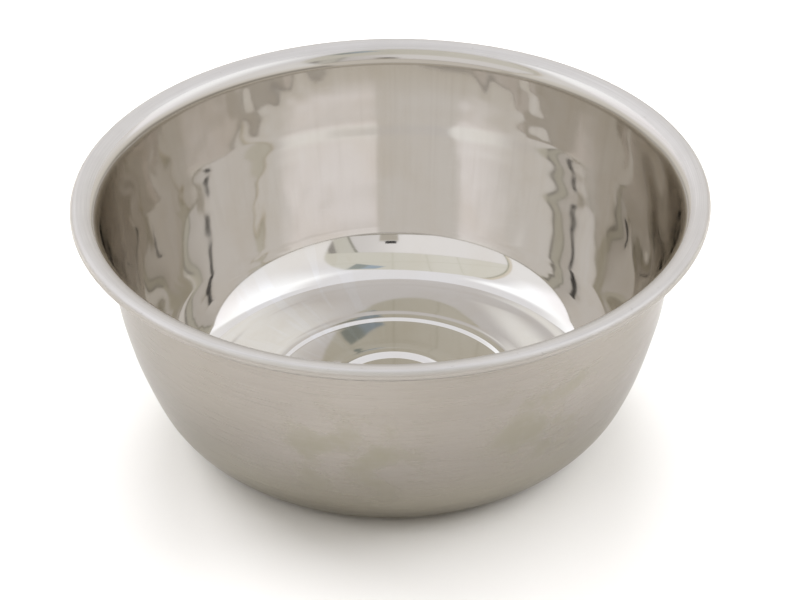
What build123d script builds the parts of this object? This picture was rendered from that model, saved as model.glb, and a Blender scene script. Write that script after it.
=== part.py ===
from build123d import *

import os
from math import cos, radians, sin

# Stainless steel mixing bowl, spun and pressed from one round blank.
# Millimetres, +Z up, origin at the centre of the underside of the base.
# Each node is one formed zone of the sheet. Neighbouring zones meet face to face.

# ---- driving dimensions -------------------------------------------------------
RIM_RADIUS = 160.0        # outermost edge of the rolled bead
HEIGHT = 127.0            # underside of the base to the top of the rim
SHEET = 0.7               # thickness of the steel

BEAD_RADIUS = 3.0         # outside radius of the rolled edge
BEAD_TURN = 270.0         # how far the sheet is rolled round, in degrees

LIP_RADIUS = 11.7         # the lip's convex upper surface
WALL_SLOPE = 81.4         # the wall's slope from the horizontal, just under the lip
BELLY_RADIUS = 237.0      # gentle inward curve of the lower wall
BELLY_END_SLOPE = 68.3
SHOULDER_RADIUS = 49.4    # where the wall rounds under
SHOULDER_END_SLOPE = 41.2
CORNER_RADIUS = 20.2      # last radius, running out level into the base

# Two stiffening beads pressed up into the flat base. They share one section at two scales.
OUTER_BEAD_START = 63.1   # radius where the outer bead starts to rise
OUTER_BEAD_SCALE = 1.15
INNER_BEAD_START = 28.4
INNER_BEAD_SCALE = 1.35
BEAD_RISE_SLOPE = 20.0    # steepest slope of the side that faces the centre
BEAD_FALL_SLOPE = 13.0    # steepest slope of the side that faces the wall
BEAD_FOOT_RADIUS = 5.0    # the section's radii, at scale 1
BEAD_CREST_RADIUS = 9.0

# ---- the walk along the upper surface of the sheet ------------------------------
# A point is (radius, height). The slope is measured from the horizontal, and is
# positive where the surface climbs outward. The sheet lies SHEET below the surface.


def across(slope, distance):
    """The step that leads from the upper surface straight down into the sheet."""
    return (distance * sin(radians(slope)), -distance * cos(radians(slope)))


def moved(point, step):
    return (point[0] + step[0], point[1] + step[1])


def arc_point(centre, radius, slope, hollow):
    """The point of an arc where it has that slope. A hollow arc curves up around its centre."""
    sign = 1 if hollow else -1
    return moved(centre, across(slope, sign * radius))


def in_space(point):
    return (point[0], 0, point[1])


def ring(upper, lower):
    """Revolves the strip between two curves, both given inward from the rim, about the axis."""
    outline = [
        upper,
        Line(upper @ 1, lower @ 1),
        lower,
        Line(lower @ 0, upper @ 0),
    ]
    return revolve(make_face(outline), Axis.Z)


def straight_zone(start, slope, length):
    end = moved(start, (-length * cos(radians(slope)), -length * sin(radians(slope))))
    upper = Line(in_space(start), in_space(end))
    down = across(slope, SHEET)
    lower = Line(in_space(moved(start, down)), in_space(moved(end, down)))
    return ring(upper, lower), end


def curve_of(centre, radius, slopes, hollow):
    points = [in_space(arc_point(centre, radius, slope, hollow)) for slope in slopes]
    return ThreePointArc(*points)


def arc_zone(start, radius, start_slope, end_slope, hollow=True):
    """A zone of one radius. Returns it and the point where its upper surface ends."""
    sign = 1 if hollow else -1
    centre = moved(start, across(start_slope, -sign * radius))
    slopes = (start_slope, (start_slope + end_slope) / 2, end_slope)
    upper = curve_of(centre, radius, slopes, hollow)
    lower = curve_of(centre, radius + sign * SHEET, slopes, hollow)
    return ring(upper, lower), arc_point(centre, radius, end_slope, hollow)


def wall_drop():
    """How far the surface falls from the rim's top to the base, apart from the straight wall."""
    lip = LIP_RADIUS * (1 - cos(radians(WALL_SLOPE)))
    belly = BELLY_RADIUS * (cos(radians(BELLY_END_SLOPE)) - cos(radians(WALL_SLOPE)))
    shoulder = SHOULDER_RADIUS * (cos(radians(SHOULDER_END_SLOPE)) - cos(radians(BELLY_END_SLOPE)))
    corner = CORNER_RADIUS * (1 - cos(radians(SHOULDER_END_SLOPE)))
    return lip + belly + shoulder + corner


def rolled_bead(top):
    """The free edge, rolled outward, down and back in under the lip."""
    centre = (top[0], top[1] - BEAD_RADIUS)

    def roll(radius):
        angles = (90, 90 - BEAD_TURN / 2, 90 - BEAD_TURN)
        points = [
            (centre[0] + radius * cos(radians(a)), 0, centre[1] + radius * sin(radians(a)))
            for a in angles
        ]
        return ThreePointArc(*points)

    return ring(roll(BEAD_RADIUS), roll(BEAD_RADIUS - SHEET))


def pressed_bead(start_radius, scale):
    """A low ring pressed up into the base, and the radius where it ends.

    It is three tangent arcs: a hollow foot, a crest and a hollow run-out that comes
    back down to the level of the base.
    """
    foot_r = scale * BEAD_FOOT_RADIUS
    crest_r = scale * BEAD_CREST_RADIUS
    rise = foot_r * (1 - cos(radians(BEAD_RISE_SLOPE)))
    rise += crest_r * (cos(radians(BEAD_FALL_SLOPE)) - cos(radians(BEAD_RISE_SLOPE)))
    run_out_r = rise / (1 - cos(radians(BEAD_FALL_SLOPE)))
    pieces = []
    point = (start_radius, SHEET)
    arcs = [
        (foot_r, 0, BEAD_RISE_SLOPE, True),
        (crest_r, BEAD_RISE_SLOPE, -BEAD_FALL_SLOPE, False),
        (run_out_r, -BEAD_FALL_SLOPE, 0, True),
    ]
    for radius, slope, next_slope, hollow in arcs:
        piece, point = arc_zone(point, radius, slope, next_slope, hollow)
        pieces.append(piece)
    return pieces[0] + pieces[1] + pieces[2], point[0]


def flat_zone(inner_radius, outer_radius):
    plate = Pos(0, 0, SHEET / 2) * Cylinder(outer_radius, SHEET)
    if inner_radius > 0:
        plate -= Pos(0, 0, SHEET / 2) * Cylinder(inner_radius, 2 * SHEET)
    return plate


# ---- the zones, from the rim to the centre of the base ---------------------------
nodes = {}

rim_top = (RIM_RADIUS - BEAD_RADIUS, HEIGHT)
nodes["rolled_bead"] = rolled_bead(rim_top)

nodes["flared_lip"], wall_top = arc_zone(rim_top, LIP_RADIUS, 0, WALL_SLOPE, hollow=False)

straight_length = (HEIGHT - SHEET - wall_drop()) / sin(radians(WALL_SLOPE))
nodes["upper_wall"], belly_top = straight_zone(wall_top, WALL_SLOPE, straight_length)
nodes["lower_wall"], shoulder_top = arc_zone(belly_top, BELLY_RADIUS, WALL_SLOPE, BELLY_END_SLOPE)
nodes["base_shoulder"], corner_top = arc_zone(
    shoulder_top, SHOULDER_RADIUS, BELLY_END_SLOPE, SHOULDER_END_SLOPE
)
nodes["base_corner"], base_edge = arc_zone(corner_top, CORNER_RADIUS, SHOULDER_END_SLOPE, 0)

nodes["base_outer_bead"], outer_bead_end = pressed_bead(OUTER_BEAD_START, OUTER_BEAD_SCALE)
nodes["base_inner_bead"], inner_bead_end = pressed_bead(INNER_BEAD_START, INNER_BEAD_SCALE)
nodes["base_outer_flat"] = flat_zone(outer_bead_end, base_edge[0])
nodes["base_middle_flat"] = flat_zone(inner_bead_end, OUTER_BEAD_START)
nodes["base_centre_disc"] = flat_zone(0, INNER_BEAD_START)

os.makedirs("parts", exist_ok=True)
for name, shape in nodes.items():
    export_step(shape, f"parts/{name}.step")

print(f"straight wall {straight_length:.1f} mm, base flat out to {base_edge[0]:.1f} mm")
print(f"outer bead ends at {outer_bead_end:.1f} mm, inner bead at {inner_bead_end:.1f} mm")
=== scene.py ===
import math

import bpy
import numpy as np
from mathutils import Matrix, Vector


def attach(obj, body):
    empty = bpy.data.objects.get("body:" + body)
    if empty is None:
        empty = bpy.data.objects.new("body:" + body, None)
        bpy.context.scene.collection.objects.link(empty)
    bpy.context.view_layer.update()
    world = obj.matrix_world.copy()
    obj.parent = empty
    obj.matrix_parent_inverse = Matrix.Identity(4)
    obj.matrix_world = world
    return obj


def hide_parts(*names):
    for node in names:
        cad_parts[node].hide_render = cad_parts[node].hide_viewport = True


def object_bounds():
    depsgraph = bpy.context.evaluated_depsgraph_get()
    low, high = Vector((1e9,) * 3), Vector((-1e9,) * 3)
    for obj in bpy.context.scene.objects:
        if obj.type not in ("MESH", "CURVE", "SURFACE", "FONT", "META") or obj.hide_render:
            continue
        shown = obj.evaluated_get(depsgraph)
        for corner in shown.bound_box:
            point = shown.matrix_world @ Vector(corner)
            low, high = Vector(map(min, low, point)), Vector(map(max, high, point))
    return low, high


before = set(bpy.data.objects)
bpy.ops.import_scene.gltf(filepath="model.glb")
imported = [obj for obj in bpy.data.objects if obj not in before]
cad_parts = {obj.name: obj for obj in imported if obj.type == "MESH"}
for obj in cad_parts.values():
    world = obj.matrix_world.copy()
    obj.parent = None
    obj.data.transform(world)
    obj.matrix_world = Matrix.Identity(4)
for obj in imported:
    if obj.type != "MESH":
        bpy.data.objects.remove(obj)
cad_low, cad_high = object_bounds()

# A spun stainless steel mixing bowl in a white photo tent.
# Metres, +Z up, the base rests on z = 0. Slopes are in degrees from the horizontal.

# ---- sizes -------------------------------------------------------------------
# The CAD's driving dimensions. The rim's radius and the height are measured on it.
RIM_RADIUS = cad_high.x
HEIGHT = cad_high.z
SHEET = 0.0007

BEAD_RADIUS = 0.0030
BEAD_TURN = 270.0
LIP_RADIUS = 0.0117
WALL_SLOPE = 81.4
BELLY_RADIUS = 0.2370
BELLY_END_SLOPE = 68.3
SHOULDER_RADIUS = 0.0494
SHOULDER_END_SLOPE = 41.2
CORNER_RADIUS = 0.0202

OUTER_BEAD_START = 0.0631
OUTER_BEAD_SCALE = 1.15
INNER_BEAD_START = 0.0284
INNER_BEAD_SCALE = 1.35
BEAD_RISE_SLOPE = 20.0
BEAD_FALL_SLOPE = 13.0
BEAD_FOOT_RADIUS = 0.0050
BEAD_CREST_RADIUS = 0.0090

SEGMENTS = 400            # round the bowl
STEP = 0.0008             # longest step along the profile
HUB = 0.0004              # radius of the one flat face at the very centre


# ---- the profile -----------------------------------------------------------------
# Points (radius, height, slope) along the upper surface, walked inward from the rim.


def offset(point, distance):
    """The point that lies this far below the upper surface."""
    radius, height, slope = point
    s = math.radians(slope)
    return (radius + distance * math.sin(s), height - distance * math.cos(s), slope)


def arc(start, radius, end_slope, hollow=True):
    """From one slope to another on one radius. A hollow arc curves up around its centre."""
    sign = 1 if hollow else -1
    centre = offset(start, -sign * radius)
    length = radius * abs(math.radians(end_slope - start[2]))
    count = max(8, math.ceil(length / STEP))
    points = []
    for i in range(count + 1):
        slope = start[2] + (end_slope - start[2]) * i / count
        points.append(offset((centre[0], centre[1], slope), sign * radius))
    return points


def straight(start, length):
    s = math.radians(start[2])
    count = max(1, math.ceil(length / STEP))
    points = []
    for i in range(count + 1):
        d = length * i / count
        points.append((start[0] - d * math.cos(s), start[1] - d * math.sin(s), start[2]))
    return points


def flat(outer, inner):
    return straight((outer, SHEET, 0.0), outer - inner)


def straight_wall_length():
    """The straight wall takes up what the arcs leave of the height."""
    def fall(radius, high, low):
        return radius * (math.cos(math.radians(low)) - math.cos(math.radians(high)))

    arcs = fall(LIP_RADIUS, WALL_SLOPE, 0)
    arcs += fall(BELLY_RADIUS, WALL_SLOPE, BELLY_END_SLOPE)
    arcs += fall(SHOULDER_RADIUS, BELLY_END_SLOPE, SHOULDER_END_SLOPE)
    arcs += fall(CORNER_RADIUS, SHOULDER_END_SLOPE, 0)
    return (HEIGHT - SHEET - arcs) / math.sin(math.radians(WALL_SLOPE))


def rolled_edge():
    """The rolled edge's outer face, from its free end under the lip round to the rim's top."""
    points = []
    count = 64
    for i in range(count + 1):
        slope = -BEAD_TURN * (1 - i / count)
        s = math.radians(slope)
        points.append((
            RIM_RADIUS - BEAD_RADIUS - BEAD_RADIUS * math.sin(s),
            HEIGHT - BEAD_RADIUS + BEAD_RADIUS * math.cos(s),
            slope,
        ))
    return points


def pressed_bead(start_radius, scale):
    """A low ring pressed up into the base. start_radius is its inner foot."""
    foot = scale * BEAD_FOOT_RADIUS
    crest = scale * BEAD_CREST_RADIUS
    rise = math.radians(BEAD_RISE_SLOPE)
    fall = math.radians(BEAD_FALL_SLOPE)
    height = foot * (1 - math.cos(rise)) + crest * (math.cos(fall) - math.cos(rise))
    run_out = height / (1 - math.cos(fall))
    width = foot * math.sin(rise) + crest * (math.sin(rise) + math.sin(fall))
    width += run_out * math.sin(fall)
    points = arc((start_radius + width, SHEET, 0.0), run_out, -BEAD_FALL_SLOPE)
    points += arc(points[-1], crest, BEAD_RISE_SLOPE, hollow=False)[1:]
    points += arc(points[-1], foot, 0.0)[1:]
    return points


zones = {}
zones["rolled_bead"] = rolled_edge()
zones["flared_lip"] = arc(zones["rolled_bead"][-1], LIP_RADIUS, WALL_SLOPE, hollow=False)
zones["upper_wall"] = straight(zones["flared_lip"][-1], straight_wall_length())
zones["lower_wall"] = arc(zones["upper_wall"][-1], BELLY_RADIUS, BELLY_END_SLOPE)
zones["base_shoulder"] = arc(zones["lower_wall"][-1], SHOULDER_RADIUS, SHOULDER_END_SLOPE)
zones["base_corner"] = arc(zones["base_shoulder"][-1], CORNER_RADIUS, 0.0)
outer_bead = pressed_bead(OUTER_BEAD_START, OUTER_BEAD_SCALE)
inner_bead = pressed_bead(INNER_BEAD_START, INNER_BEAD_SCALE)
zones["base_outer_flat"] = flat(zones["base_corner"][-1][0], outer_bead[0][0])
zones["base_outer_bead"] = outer_bead
zones["base_middle_flat"] = flat(OUTER_BEAD_START, inner_bead[0][0])
zones["base_inner_bead"] = inner_bead
zones["base_centre_disc"] = flat(INNER_BEAD_START, HUB)


# ---- slight unevenness of the spun sheet --------------------------------------------
# Ripples left by the spinning roller run round the wall, and drift slowly along it.
# Broader hollows come on top, and one faint band runs right round. All of it together
# stays below 0.15 mm at the front and back, and reaches 0.65 mm at the left and right.
RIPPLE_SLOPE = 0.0022     # the steepest that a ripple may be
HOLLOW_SIZE = 0.00080     # depth of a hollow, times the number of hollows round the bowl
BAND_HEIGHT = 0.0935
BAND_HALF_WIDTH = 0.0070
BAND_SIZE = -0.000120

rng = np.random.default_rng(11)
RIPPLES = []
for _ in range(14):
    length = rng.uniform(0.013, 0.042)
    RIPPLES.append({
        "size": RIPPLE_SLOPE * length / (2 * math.pi) * rng.uniform(0.4, 1.0),
        "along": 2 * math.pi / length,
        "phase": rng.uniform(0, 2 * math.pi),
        "drifts": [
            (times, rng.uniform(0.3, 1.4) / times, rng.uniform(0, 2 * math.pi))
            for times in (1, 2, 3, 5)
        ],
    })
HOLLOWS = []
for _ in range(18):
    around = int(rng.integers(9, 34))
    HOLLOWS.append({
        "size": rng.uniform(0.4, 1.0) * HOLLOW_SIZE / around,
        "around": around,
        "along": 2 * math.pi / rng.uniform(0.03, 0.09) * rng.choice((-1, 1)),
        "phase": rng.uniform(0, 2 * math.pi),
    })


def ramp(value, start, end):
    """Rises smoothly from 0 at start to 1 at end."""
    t = np.clip((value - start) / (end - start), 0, 1)
    return t * t * (3 - 2 * t)


def unevenness(turn, radius, height):
    """How far the sheet stands off its true shape, along its normal."""
    walk = radius + height
    total = np.zeros(np.broadcast(turn, radius).shape)
    for ripple in RIPPLES:
        phase = ripple["phase"]
        for times, swing, start in ripple["drifts"]:
            phase = phase + swing * np.sin(times * turn + start)
        total += ripple["size"] * np.sin(ripple["along"] * walk + phase)
    # The hollows are deep at the left and right, and faint at the front and back.
    side = np.cos(turn) ** 2
    depth = 0.06 + 0.94 * side ** 2 + 1.1 * side ** 6
    for hollow in HOLLOWS:
        angle = hollow["around"] * turn + hollow["along"] * walk + hollow["phase"]
        total += hollow["size"] * np.sin(angle) * depth
    total += BAND_SIZE * np.exp(-(((height - BAND_HEIGHT) / BAND_HALF_WIDTH) ** 2))
    # The base and the lip stay true.
    on_wall = ramp(height, 0.020, 0.045) * ramp(height, HEIGHT - 0.004, HEIGHT - 0.018)
    return total * on_wall


# ---- meshes -----------------------------------------------------------------------
def skin(points, side):
    """Positions and outward normals of one side of the sheet, as a grid (turn, point)."""
    depth = 0.0 if side > 0 else SHEET
    r, z, slope = np.array([offset(p, depth) for p in points]).T
    turn = (np.arange(SEGMENTS) * 2 * math.pi / SEGMENTS)[:, None]
    s = np.radians(slope)
    cos_s, sin_s = np.cos(s), np.sin(s)
    w = unevenness(turn, r, z)
    tiny = 1e-5               # the step, in metres or radians, that measures a slope
    along = (unevenness(turn, r + tiny * cos_s, z + tiny * sin_s) - w) / tiny
    around = (unevenness(turn + tiny, r, z) - w) / tiny / np.maximum(r, HUB)
    place_r, place_z = r - sin_s * w, z + cos_s * w
    normal_r, normal_z = -sin_s - along * cos_s, cos_s - along * sin_s
    cos_t, sin_t = np.cos(turn), np.sin(turn)
    places = np.stack([place_r * cos_t, place_r * sin_t, place_z], -1)
    normals = np.stack([
        normal_r * cos_t + around * sin_t,
        normal_r * sin_t - around * cos_t,
        normal_z,
    ], -1)
    normals /= np.linalg.norm(normals, axis=-1, keepdims=True)
    return places, normals * side


def lathe(name, points, materials):
    """One zone of the sheet, as a closed ring with an upper skin, a lower skin and two ends."""
    upper, upper_normals = skin(points, 1)
    lower, lower_normals = skin(points, -1)
    n = len(points)
    places = np.concatenate([upper, lower[:, ::-1]], 1)
    normals = np.concatenate([upper_normals, lower_normals[:, ::-1]], 1)
    to_axis = points[-1][0] <= HUB
    faces, corner_normals, material_of = [], [], []
    width = 2 * n
    for j in range(width):
        m = (j + 1) % width
        is_end = j in (n - 1, width - 1)
        if to_axis and j == n - 1:
            continue
        for i in range(SEGMENTS):
            k = (i + 1) % SEGMENTS
            quad = ((k, j), (k, m), (i, m), (i, j))
            faces.append([a * width + b for a, b in quad])
            material_of.append(0 if j < n - 1 else 1)
            if is_end:
                a, b, c = (places[q] for q in quad[:3])
                end_normal = np.cross(b - a, c - a)
                end_normal /= max(np.linalg.norm(end_normal), 1e-12)
                corner_normals += [end_normal] * 4
            else:
                corner_normals += [normals[q] for q in quad]
    if to_axis:
        for row, order, material in ((n - 1, 1, 0), (n, -1, 1)):
            faces.append([i * width + row for i in range(SEGMENTS)][::order])
            corner_normals += [np.array((0, 0, order))] * SEGMENTS
            material_of.append(material)
    mesh = bpy.data.meshes.new(name)
    mesh.from_pydata(places.reshape(-1, 3).tolist(), [], faces)
    for material in materials:
        mesh.materials.append(material)
    mesh.polygons.foreach_set("material_index", material_of)
    mesh.polygons.foreach_set("use_smooth", [True] * len(faces))
    mesh.normals_split_custom_set(np.array(corner_normals).tolist())
    mesh.update()
    obj = bpy.data.objects.new(name, mesh)
    bpy.context.scene.collection.objects.link(obj)
    return obj


# ---- small helpers for building node trees --------------------------------------------
class Graph:
    """Adds nodes to one tree. Inputs may be sockets or numbers."""

    def __init__(self, tree):
        self.tree = tree

    def link(self, value, socket):
        if isinstance(value, (int, float, tuple)):
            socket.default_value = value
        else:
            self.tree.links.new(value, socket)

    def node(self, kind, *inputs, named=None, **settings):
        node = self.tree.nodes.new(kind)
        for key, value in settings.items():
            setattr(node, key, value)
        for i, value in enumerate(inputs):
            self.link(value, node.inputs[i])
        for key, value in (named or {}).items():
            self.link(value, node.inputs[key])
        return node

    def math(self, operation, *inputs):
        return self.node("ShaderNodeMath", *inputs, operation=operation).outputs[0]

    def add(self, a, b):
        return self.math("ADD", a, b)

    def subtract(self, a, b):
        return self.math("SUBTRACT", a, b)

    def multiply(self, a, b):
        return self.math("MULTIPLY", a, b)

    def largest(self, first, *others):
        for other in others:
            first = self.math("MAXIMUM", first, other)
        return first

    def plus(self, value, mask, amount):
        """The value, raised by the amount where the mask is 1."""
        return self.math("MULTIPLY_ADD", mask, amount, value)

    def vector(self, x, y, z):
        return self.node("ShaderNodeCombineXYZ", x, y, z).outputs[0]

    def smooth(self, value, start, end):
        """Rises smoothly from 0 at start to 1 at end."""
        named = {
            "From Min": min(start, end),
            "From Max": max(start, end),
            "To Min": 0.0 if start < end else 1.0,
            "To Max": 1.0 if start < end else 0.0,
        }
        node = self.node(
            "ShaderNodeMapRange", value, named=named, interpolation_type="SMOOTHSTEP"
        )
        return node.outputs[0]

    def between(self, value, low, high, soft_low, soft_high):
        """1 between two limits, falling smoothly to 0 past each."""
        rise = self.smooth(value, low - soft_low, low + soft_low)
        fall = self.smooth(value, high + soft_high, high - soft_high)
        return self.multiply(rise, fall)

    def mix(self, factor, a, b, blend="MIX"):
        """Mixes two colours."""
        node = self.tree.nodes.new("ShaderNodeMix")
        node.data_type = "RGBA"
        node.blend_type = blend
        for socket, value in zip((0, 6, 7), (factor, a, b)):
            if isinstance(value, tuple):
                value = (*value, 1.0)
            self.link(value, node.inputs[socket])
        return node.outputs[2]

    def tinted(self, colour, mask, strength, other):
        """The colour, taken part of the way to another where the mask is 1."""
        return self.mix(self.multiply(mask, strength), colour, other)

    def noise(self, vector, scale, detail=2.0, roughness=0.5):
        named = {"Vector": vector, "Scale": scale, "Detail": detail, "Roughness": roughness}
        return self.node("ShaderNodeTexNoise", named=named).outputs["Fac"]

    def near(self, place, centre, reach):
        """1 at a centre, falling smoothly to 0 at the given reach."""
        node = self.node("ShaderNodeVectorMath", place, centre, operation="DISTANCE")
        return self.smooth(node.outputs["Value"], reach, 0.35 * reach)

    def bump(self, height, distance):
        named = {"Strength": 1.0, "Distance": distance, "Height": height}
        return self.node("ShaderNodeBump", named=named).outputs[0]


class Sheet(Graph):
    """A steel material. It knows where a point is round the bowl and along the profile."""

    def __init__(self, name):
        self.material = bpy.data.materials.new(name)
        self.material.use_nodes = True
        super().__init__(self.material.node_tree)
        self.shader = self.tree.nodes["Principled BSDF"]
        self.shader.inputs["Metallic"].default_value = 1.0
        self.place = self.node("ShaderNodeTexCoord").outputs["Object"]
        x, y, self.height = self.node("ShaderNodeSeparateXYZ", self.place).outputs
        square = self.add(self.multiply(x, x), self.multiply(y, y))
        self.radius = self.math("MAXIMUM", self.math("SQRT", square), HUB)
        self.east = self.math("DIVIDE", x, self.radius)
        self.north = self.math("DIVIDE", y, self.radius)
        self.walk = self.add(self.radius, self.height)

    def grain(self, per_metre, per_turn, detail=2.0, roughness=0.5):
        """Noise that changes at one pace along the profile and at another round the bowl.

        A fast pace along the profile gives the fine lines of turning and brushing. A fast
        pace round the bowl gives smears, drawn up and down by wiping.
        """
        vector = self.vector(
            self.multiply(self.east, per_turn),
            self.multiply(self.north, per_turn),
            self.multiply(self.walk, per_metre),
        )
        return self.noise(vector, 1.0, detail, roughness)

    def finish(self, colour, roughness, normal):
        self.link(colour, self.shader.inputs["Base Color"])
        self.link(roughness, self.shader.inputs["Roughness"])
        self.link(normal, self.shader.inputs["Normal"])
        return self.material


# ---- steel --------------------------------------------------------------------------
# Marked places, each with its reach: one smeared by wiping, and three by fingers.
SMEARED = ((-0.045, 0.072, 0.0), 0.060)
HANDLED = [
    ((-0.022, -0.134, 0.060), 0.050),
    ((0.072, -0.118, 0.070), 0.044),
    ((0.040, 0.132, 0.070), 0.060),
]


def polished():
    """Inside: bright polish with fine turning lines, faint haze and a few scratches.

    Wiping has rubbed the wall up and down, and left smears on the base.
    """
    m = Sheet("steel_polished")
    haze = m.noise(m.place, 24.0, 4.0, 0.6)
    turning = m.grain(1500.0, 2.5, 3.0, 0.6)
    scratch = m.smooth(m.grain(2600.0, 9.0, 1.0), 0.70, 0.78)
    on_wall = m.smooth(m.height, 0.030, 0.055)
    rubbed = m.multiply(m.smooth(m.grain(12.0, 55.0), 0.45, 0.75), on_wall)
    smears = m.multiply(m.smooth(m.grain(20.0, 14.0), 0.50, 0.60), m.near(m.place, *SMEARED))
    colour = m.mix(m.smooth(haze, 0.40, 0.75), (0.655, 0.628, 0.585), (0.635, 0.600, 0.545))
    colour = m.tinted(colour, scratch, 0.25, (0.80, 0.78, 0.75))
    colour = m.tinted(colour, rubbed, 0.35, (0.600, 0.570, 0.520))
    colour = m.tinted(colour, smears, 0.45, (0.700, 0.690, 0.672))
    roughness = m.plus(0.015, haze, 0.05)
    roughness = m.plus(roughness, turning, 0.03)
    roughness = m.plus(roughness, scratch, 0.10)
    roughness = m.plus(roughness, smears, 0.05)
    return m.finish(colour, roughness, m.bump(turning, 5e-7))


def satin():
    """Outside: fine circumferential satin, with rubbed patches and olive finger marks.

    Darker lines run round it just under the lip. Near the base, painted light makes it lighter
    and more olive.
    """
    m = Sheet("steel_satin")
    broad = m.grain(900.0, 1.3, 4.0, 0.6)
    fine = m.grain(2600.0, 3.0, 2.0, 0.6)
    rub = m.smooth(m.noise(m.place, 16.0, 3.0, 0.6), 0.45, 0.70)
    dabs = m.smooth(m.noise(m.place, 52.0, 4.0, 0.55), 0.38, 0.68)
    marks = m.multiply(dabs, m.largest(*(m.near(m.place, *spot) for spot in HANDLED)))
    under_lip = m.smooth(m.height, 0.104, 0.113)
    # Darker lines run round the wall just under the lip.
    dark_lines_under_lip = m.multiply(m.smooth(m.grain(1300.0, 0.9, 1.0), 0.60, 0.68), under_lip)
    # Painted reflection: near the base the colour is lighter and more olive, for the warm floor
    # that the low wall mirrors.
    painted_light_near_base = m.smooth(m.height, 0.055, 0.015)
    colour = m.mix(m.smooth(broad, 0.30, 0.70), (0.368, 0.339, 0.307), (0.384, 0.353, 0.320))
    colour = m.tinted(colour, rub, 0.4, (0.364, 0.334, 0.288))
    colour = m.tinted(colour, marks, 0.60, (0.312, 0.294, 0.222))
    colour = m.mix(painted_light_near_base, colour, (0.410, 0.380, 0.318))
    colour = m.tinted(colour, dark_lines_under_lip, 0.45, (0.285, 0.262, 0.232))
    roughness = m.plus(0.20, fine, 0.12)
    roughness = m.plus(roughness, marks, 0.06)
    height = m.add(m.multiply(broad, 0.5), m.multiply(fine, 0.5))
    m.shader.inputs["Specular Tint"].default_value = (0.81, 0.81, 0.81, 1.0)
    m.shader.inputs["Anisotropic"].default_value = 0.5
    m.shader.inputs["Anisotropic Rotation"].default_value = 0.25
    tangent = m.node("ShaderNodeTangent", direction_type="RADIAL", axis="Z")
    m.link(tangent.outputs[0], m.shader.inputs["Tangent"])
    return m.finish(colour, roughness, m.bump(height, 8e-7))


def rim_satin():
    """The rolled edge and the lip: finer satin with small nicks, and painted shade down the
    edge's side.

    The bend from the lip into the wall is polished.
    """
    m = Sheet("steel_rim")
    fine = m.grain(3000.0, 7.0, 2.0, 0.6)
    streaks = m.smooth(m.grain(1900.0, 2.5, 3.0, 0.6), 0.35, 0.70)
    cloud = m.noise(m.place, 55.0, 3.0, 0.6)
    nick = m.smooth(m.noise(m.place, 420.0, 1.0), 0.73, 0.80)
    bend = m.smooth(m.radius, RIM_RADIUS - 0.0096, RIM_RADIUS - 0.0103)
    # Painted shade: the rolled edge's outer side, below its top, is darkened for the dim floor
    # that it mirrors.
    past_top = m.smooth(m.radius, RIM_RADIUS - 0.0028, RIM_RADIUS - 0.0022)
    side = m.multiply(past_top, m.smooth(m.height, HEIGHT - 0.0014, HEIGHT - 0.0024))
    colour = m.mix(m.smooth(cloud, 0.35, 0.70), (0.596, 0.569, 0.532), (0.574, 0.546, 0.509))
    colour = m.mix(streaks, colour, (0.536, 0.510, 0.475))
    colour = m.tinted(colour, nick, 0.5, (0.42, 0.39, 0.35))
    # The painted shade on the edge's side.
    colour = m.mix(side, colour, (0.400, 0.375, 0.345))
    colour = m.mix(bend, colour, (0.545, 0.515, 0.470))
    roughness = m.plus(0.38, fine, 0.08)
    roughness = m.plus(roughness, cloud, 0.06)
    roughness = m.plus(roughness, bend, m.multiply(roughness, -0.75))
    height = m.subtract(m.multiply(fine, 0.5), nick)
    height = m.multiply(height, m.subtract(1.0, bend))
    return m.finish(colour, roughness, m.bump(height, 3e-6))


inside, outside, rim = polished(), satin(), rim_satin()
for name, points in zones.items():
    skins = (inside, outside)
    if name == "rolled_bead":
        skins = (rim, rim)
    if name == "flared_lip":
        skins = (rim, outside)
    piece = lathe(f"steel_{name}", points, skins)
    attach(piece, "root")
    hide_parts(name)


# ---- floor ----------------------------------------------------------------------------
def stage_object(name, corners, material):
    """A flat piece of the studio. It is no part of the bowl."""
    mesh = bpy.data.meshes.new(name)
    mesh.from_pydata(corners, [], [range(len(corners))])
    mesh.materials.append(material)
    obj = bpy.data.objects.new(name, mesh)
    bpy.context.scene.collection.objects.link(obj)
    return obj


def plain(name, colour, roughness):
    material = bpy.data.materials.new(name)
    material.use_nodes = True
    shader = material.node_tree.nodes["Principled BSDF"]
    shader.inputs["Base Color"].default_value = (*colour, 1)
    shader.inputs["Roughness"].default_value = roughness
    return material


FLOOR = 3.3               # half the floor's width
stage_object(
    "floor",
    [(-FLOOR, -FLOOR, 0), (FLOOR, -FLOOR, 0), (FLOOR, FLOOR, 0), (-FLOOR, FLOOR, 0)],
    plain("floor_white", (0.928, 0.930, 0.938), 0.5),
)

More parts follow.
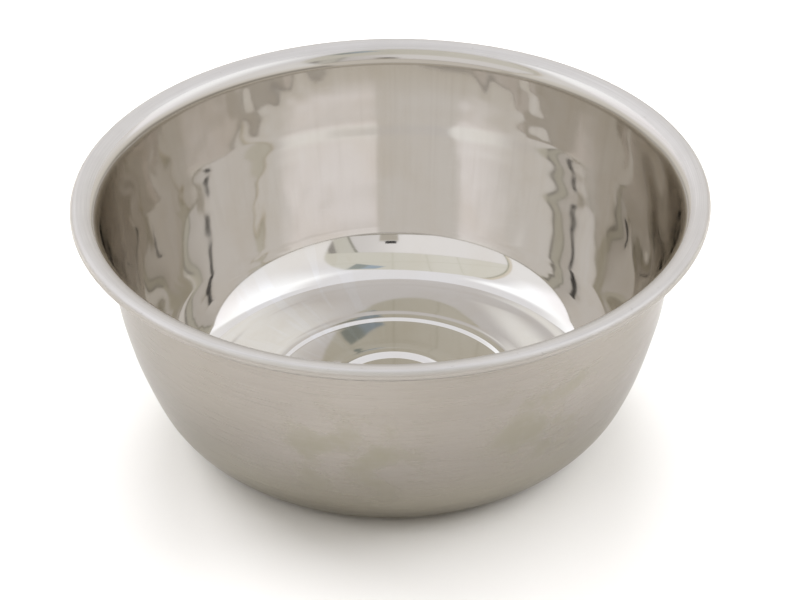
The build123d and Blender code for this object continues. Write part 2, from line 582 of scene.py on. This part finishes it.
# ---- light ------------------------------------------------------------------------------
# The studio is a white tent, brighter on both sides, with a rounded opening in front
# and above, through which the room shows. All of it is painted on the ray's direction.
# Azimuth 0 is behind the bowl and 90 to its right. Zenith 0 is straight up.
LIGHT = {
    "tent_top": (1.08, 1.10, 1.19),
    "tent_side": (1.15, 1.16, 1.21),
    "tent_low": (0.99, 0.97, 0.94),
    "tent_foot": (0.40, 0.37, 0.33),
    "panel": (1.48, 1.49, 1.62),
    "panel_top": (1.60, 1.67, 1.80),
    "hem": (0.92, 0.86, 0.76),
    "hem_edge": (0.42, 0.43, 0.33),
    "ceiling_right": (0.87, 0.87, 0.82),
    "ceiling_left": (0.95, 0.95, 0.91),
    "ceiling_joint": (0.68, 0.68, 0.60),
    "ceiling_edge": (0.70, 0.70, 0.66),
    "window_left": (0.42, 0.47, 0.47),
    "window_right": (0.48, 0.58, 0.70),
    "wall_right": (0.89, 0.88, 0.90),
    "wall_left": (1.08, 1.08, 1.12),
    "side_wall": (0.79, 0.79, 0.75),
    "door": (0.42, 0.41, 0.40),
    "corner": (0.42, 0.42, 0.38),
    "column": (0.60, 0.57, 0.52),
    "dado": (0.88, 0.85, 0.81),
    "dado_edge": (0.38, 0.36, 0.32),
}
ON_FLOOR = (0.29, 0.255, 0.20)      # how much of the tent's light the dull surfaces get
SLANT = math.sin(math.radians(45))  # the opening faces forward and up

world = bpy.data.worlds.new("tent")
bpy.context.scene.world = world
world.use_nodes = True
world.node_tree.nodes.clear()
g = Graph(world.node_tree)
direction = g.node("ShaderNodeTexCoord").outputs["Generated"]
dx, dy, dz = g.node("ShaderNodeSeparateXYZ", direction).outputs
azimuth = g.multiply(g.math("ARCTAN2", dx, dy), 180 / math.pi)
zenith = g.multiply(g.math("ARCCOSINE", dz), 180 / math.pi)

# The tent's cloth, from the top down. On the right its dark foot starts higher.
tent = g.mix(g.smooth(zenith, 30, 55), LIGHT["tent_top"], LIGHT["tent_side"])
tent = g.mix(g.smooth(zenith, 62, 78), tent, LIGHT["tent_low"])
shaded = g.plus(zenith, g.smooth(azimuth, 30, 70), 5.0)
tent = g.mix(g.smooth(shaded, 80, 91), tent, LIGHT["tent_foot"])

# The left panel. Low down its front side slants back, high up its rear corner is cut
# off, and a dimmer bar crosses it.
slant = g.largest(g.add(zenith, -50), 0.0)
left = g.smooth(g.subtract(azimuth, slant), -107, -89)
left = g.multiply(left, g.smooth(azimuth, -9.5, -12.5))
raised = g.multiply(g.smooth(azimuth, -85, -50), 20.0)
left = g.multiply(left, g.smooth(g.subtract(zenith, raised), 14, 30))
left = g.multiply(left, g.smooth(zenith, 77, 61))
bar = g.between(zenith, 60.4, 64.4, 1.2, 1.2)
left = g.multiply(left, g.subtract(1.0, g.multiply(bar, 0.45)))

# The right panel. Its front side is soft, and slants back low down.
skewed = g.plus(azimuth, g.add(zenith, -40), 1.2)
right = g.multiply(g.smooth(azimuth, 54, 62), g.smooth(skewed, 136, 88))
right = g.multiply(right, g.between(zenith, 22, 66, 8, 5))
panel = g.mix(g.smooth(zenith, 60, 44), LIGHT["panel"], LIGHT["panel_top"])
tent = g.mix(g.largest(left, right), tent, panel)

# The opening. On a plane at distance 1 along its axis, u runs to the right and v up.
depth = g.largest(g.multiply(g.subtract(dz, dy), SLANT), 0.02)
u = g.math("DIVIDE", dx, depth)
v = g.math("DIVIDE", g.multiply(g.add(dy, dz), SLANT), depth)


def stroke(value, middle, half_width, soft):
    return g.between(value, middle - half_width, middle + half_width, soft, soft)


def arch_distance(middle, half_width, height, power):
    """0 on the outline of the opening's arch, negative inside it and positive outside."""
    aside = g.multiply(g.math("ABSOLUTE", g.subtract(u, middle)), 1 / half_width)
    above = g.multiply(g.largest(v, 0.0), 1 / height)
    total = g.add(g.math("POWER", aside, power), g.math("POWER", above, power))
    return g.subtract(g.math("POWER", total, 1 / power), 1.0)


# The room's tiled ceiling, with one window. The window is a rectangle that lies askew.
ceiling = g.mix(g.smooth(u, 0.1, -0.5), LIGHT["ceiling_right"], LIGHT["ceiling_left"])
joints = g.largest(
    *(stroke(u, middle, 0.004, 0.006) for middle in (-0.01, -0.25, -0.50)),
    *(stroke(v, middle, 0.003, 0.005) for middle in (0.235, 0.64)),
)
ceiling = g.tinted(ceiling, joints, 0.6, LIGHT["ceiling_joint"])
from_window_u, from_window_v = g.add(u, -0.165), g.add(v, -0.361)
lengthwise = g.add(g.multiply(from_window_u, -0.894), g.multiply(from_window_v, 0.447))
crosswise = g.add(g.multiply(from_window_u, 0.447), g.multiply(from_window_v, 0.894))
window = g.multiply(
    g.between(lengthwise, -0.11, 0.11, 0.008, 0.008),
    g.between(crosswise, -0.065, 0.070, 0.008, 0.02),
)
glass = g.mix(g.smooth(lengthwise, -0.03, 0.01), LIGHT["window_left"], LIGHT["window_right"])
ceiling = g.mix(window, ceiling, glass)

# Its far wall, and on the right a side wall with a dark door.
wall = g.mix(g.smooth(u, 0.25, -0.15), LIGHT["wall_right"], LIGHT["wall_left"])
corner = g.plus(u, v, 0.31)
door = g.between(corner, 0.405, 0.475, 0.008, 0.008)
side_wall = g.mix(door, LIGHT["side_wall"], LIGHT["door"])
wall = g.mix(g.smooth(corner, 0.240, 0.252), wall, side_wall)
wall = g.mix(stroke(corner, 0.245, 0.012, 0.006), wall, LIGHT["corner"])
column = g.multiply(stroke(u, 0.015, 0.075, 0.01), g.between(v, -0.42, -0.25, 0.01, 0.04))
wall = g.mix(column, wall, LIGHT["column"])
wall = g.mix(g.smooth(v, -0.41, -0.43), wall, LIGHT["dado"])
wall = g.mix(stroke(v, -0.425, 0.012, 0.008), wall, LIGHT["dado_edge"])
level = g.plus(v, u, 0.12)
room = g.mix(g.smooth(level, 0.014, 0.026), wall, ceiling)
room = g.tinted(room, stroke(level, 0.02, 0.004, 0.006), 0.5, LIGHT["ceiling_edge"])

# The arch lets the room show. A hem follows its outline on the left.
arch = arch_distance(-0.35, 0.87, 0.66, 1.8)
tent = g.mix(g.smooth(arch, 0.020, -0.020), tent, room)
hem_part = g.smooth(u, -0.55, -0.75)
tent = g.mix(g.multiply(stroke(arch, 0.060, 0.038, 0.012), hem_part), tent, LIGHT["hem"])
tent = g.mix(g.multiply(stroke(arch, 0.002, 0.016, 0.008), hem_part), tent, LIGHT["hem_edge"])

rays = g.node("ShaderNodeLightPath").outputs
tent = g.mix(rays["Is Diffuse Ray"], tent, ON_FLOOR, "MULTIPLY")
tent = g.mix(rays["Is Camera Ray"], tent, (1.0, 1.0, 1.0))
sky = g.node("ShaderNodeBackground", tent, 1.0)
out = g.node("ShaderNodeOutputWorld")
g.link(sky.outputs[0], out.inputs["Surface"])


# Broad lamps light the floor. The steel mirrors only the tent.
def lamp(name, place, size, energy):
    data = bpy.data.lights.new(name, "AREA")
    data.shape = "DISK"
    data.size = size
    data.energy = energy
    obj = bpy.data.objects.new(name, data)
    obj.location = place
    obj.rotation_euler = (-Vector(place)).to_track_quat("-Z", "Y").to_euler()
    obj.visible_camera = False
    obj.visible_glossy = False
    bpy.context.scene.collection.objects.link(obj)


lamp("overhead", (0, 0, 3.3), 2.7, 36.0)
lamp("side_left", (-2.5, 0.3, 1.6), 1.9, 13.0)
lamp("side_right", (2.5, 0.3, 1.6), 1.9, 48.0)
lamp("front_left", (-2.1, -1.3, 2.1), 1.9, 15.0)
lamp("front_right", (2.1, -1.3, 2.1), 1.9, 11.5)
lamp("back_left", (-2.2, 1.9, 1.9), 1.9, 73.0)
lamp("back_right", (2.2, 1.9, 1.9), 1.9, 28.0)
lamp("back", (0, 3.2, 1.8), 2.2, 79.0)

# ---- camera ---------------------------------------------------------------------------------
# It looks down at the rim's centre from the front, then turns a little to place the bowl
# in the picture as in the photograph.
ELEVATION = math.radians(31.33)
DISTANCE = 7.5 * RIM_RADIUS
TURNS = ((-2.725, "X"), (-0.187, "Y"), (-0.82, "Z"))    # degrees

back = Vector((0, -math.cos(ELEVATION), math.sin(ELEVATION)))
place = Vector((0, 0, HEIGHT)) + back * DISTANCE
turn = (-back).to_track_quat("-Z", "Y").to_matrix()
for degrees, axis in TURNS:
    turn = turn @ Matrix.Rotation(math.radians(degrees), 3, axis)
camera_data = bpy.data.cameras.new("camera")
camera_data.sensor_width = 36.0
camera_data.lens = 107.8
camera = bpy.data.objects.new("camera", camera_data)
camera.matrix_world = Matrix.Translation(place) @ turn.to_4x4()
bpy.context.scene.collection.objects.link(camera)
bpy.context.scene.camera = camera
bpy.context.scene.view_settings.view_transform = "Standard"
# The inside mirrors itself many times over, and would end in black with fewer bounces.
bpy.context.scene.cycles.glossy_bounces = 12

# The camera's own dark body, just behind it, which the polished steel mirrors.
BODY_HALF_WIDTH, BODY_HALF_HEIGHT = 0.055, 0.04
BODY_SETBACK = 0.03
right_way, up_way = turn.col[0] * BODY_HALF_WIDTH, turn.col[1] * BODY_HALF_HEIGHT
body = []
for x, y in ((-1, -1), (1, -1), (1, 1), (-1, 1)):
    body.append(place + back * BODY_SETBACK + right_way * x + up_way * y)
camera_black = plain("camera_black", (0.01, 0.01, 0.011), 0.6)
silhouette = stage_object("camera_silhouette", body, camera_black)
silhouette.visible_camera = False
silhouette.visible_shadow = False
silhouette.visible_diffuse = False
